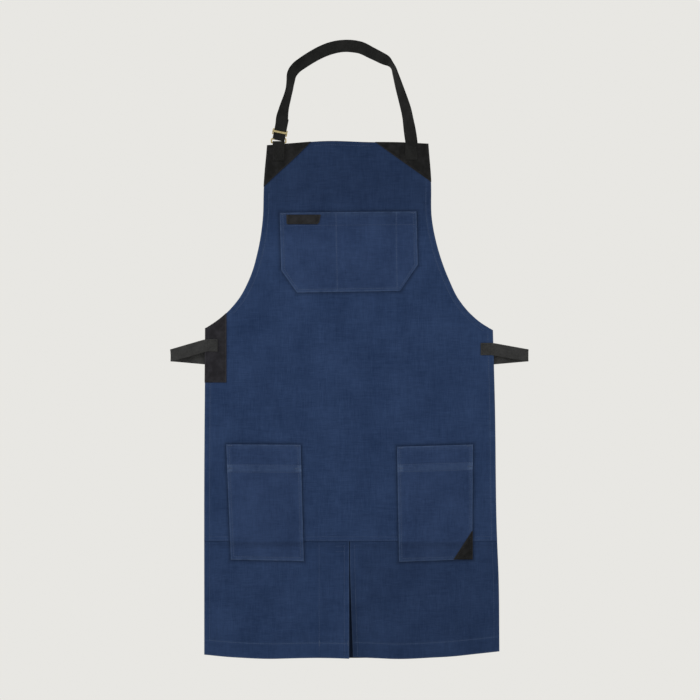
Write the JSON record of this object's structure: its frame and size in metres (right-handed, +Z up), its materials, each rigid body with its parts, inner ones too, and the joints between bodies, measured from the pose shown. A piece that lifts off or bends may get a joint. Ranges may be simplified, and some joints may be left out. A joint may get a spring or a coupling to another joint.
{
  "type": "welding apron",
  "caption": "Long split-leg welding apron of canvas with leather-faced corners, bib and skirt pockets, adjustable webbing neck strap and buckled waist straps, shown hanging.",
  "frame": {"origin": "where the neck strap's loop rests: the inner top of the loop, middle of the webbing's width", "axes": "+Z up, -Y towards the front of the apron, +X to the viewer's right from the front"},
  "size_m": [0.7334, 0.0205, 1.276],
  "materials": {
    "canvas": "matte woven cotton canvas, navy",
    "pocket_canvas": "matte woven cotton canvas, navy",
    "leather": "matte black",
    "label": "matte near-black",
    "webbing": "woven webbing, charcoal",
    "brass": "polished",
    "plastic": "fine satin black"
  },
  "bodies": {
    "neck_loop": {"neck_strap": "webbing", "neck_ring": "brass"},
    "neck_slider": {"neck_slider": "brass"},
    "apron": {"front_panel": "canvas", "left_leg_panel_top": "canvas", "right_leg_panel_top": "canvas", "slit_guard": "canvas", "bib_top_facing": "canvas", "armhole_facing_left": "canvas", "armhole_facing_right": "canvas", "bib_pocket": "pocket_canvas", "left_pocket": "pocket_canvas", "right_pocket": "pocket_canvas", "bib_corner_patch_left": "leather", "bib_corner_patch_right": "leather", "waist_patch_left": "leather", "pocket_corner_patch": "leather", "label_patch": "label", "neck_strap_foot": "webbing", "neck_anchor_tab": "webbing", "waist_strap_left_end": "webbing", "waist_strap_right_end": "webbing"},
    "left_leg": {"left_leg_panel": "canvas", "left_slit_facing": "canvas"},
    "right_leg": {"right_leg_panel": "canvas", "right_slit_facing": "canvas"},
    "waist_left": {"waist_strap_left": "webbing", "buckle_female": "plastic"},
    "waist_right": {"waist_strap_right": "webbing", "buckle_male": "plastic"},
    "waist_slider": {"waist_slider": "plastic"},
    "buckle_arm_upper": {"buckle_arm_upper": "plastic"},
    "buckle_arm_lower": {"buckle_arm_lower": "plastic"}
  },
  "joints": [
    {"name": "neck_fold", "type": "hinge", "parent": "neck_loop", "child": "apron", "pos_m": [0, -0.0002, -0.186], "axis": [1, 0, 0], "range_deg": [-90, 90]},
    {"name": "neck_slider_slide", "type": "slide", "parent": "neck_loop", "child": "neck_slider", "axis": [0.1959, 0, 0.9806], "range_m": [0, 0.02]},
    {"name": "left_leg_swing", "type": "hinge", "parent": "apron", "child": "left_leg", "pos_m": [-0.15, 0, -1.052], "axis": [-1, 0, 0], "range_deg": [0, 40]},
    {"name": "right_leg_swing", "type": "hinge", "parent": "apron", "child": "right_leg", "pos_m": [0.15, 0, -1.052], "axis": [-1, 0, 0], "range_deg": [0, 40]},
    {"name": "waist_left_swing", "type": "hinge", "parent": "apron", "child": "waist_left", "pos_m": [-0.366, 0.0016, -0.624], "axis": [0, 0, 1], "range_deg": [0, 160]},
    {"name": "waist_right_swing", "type": "hinge", "parent": "apron", "child": "waist_right", "pos_m": [0.366, 0.0022, -0.624], "axis": [0, 0, -1], "range_deg": [0, 160]},
    {"name": "waist_slider_slide", "type": "slide", "parent": "waist_right", "child": "waist_slider", "axis": [0.9962, 0, 0.0872], "range_m": [0, 0.06]},
    {"name": "buckle_arm_upper_squeeze", "type": "hinge", "parent": "waist_right", "child": "buckle_arm_upper", "pos_m": [0.0359, 0.0066, -0.64184], "axis": [0, 1, 0], "range_deg": [0, 8], "stiffness_Nm_per_rad": 0.02},
    {"name": "buckle_arm_lower_squeeze", "type": "hinge", "parent": "waist_right", "child": "buckle_arm_lower", "pos_m": [0.03782, 0.0066, -0.66375], "axis": [0, -1, 0], "range_deg": [0, 8], "stiffness_Nm_per_rad": 0.02}
  ],
  "couplings": [
    {"joint": "buckle_arm_lower_squeeze", "follows": "buckle_arm_upper_squeeze", "ratio": 1}
  ]
}
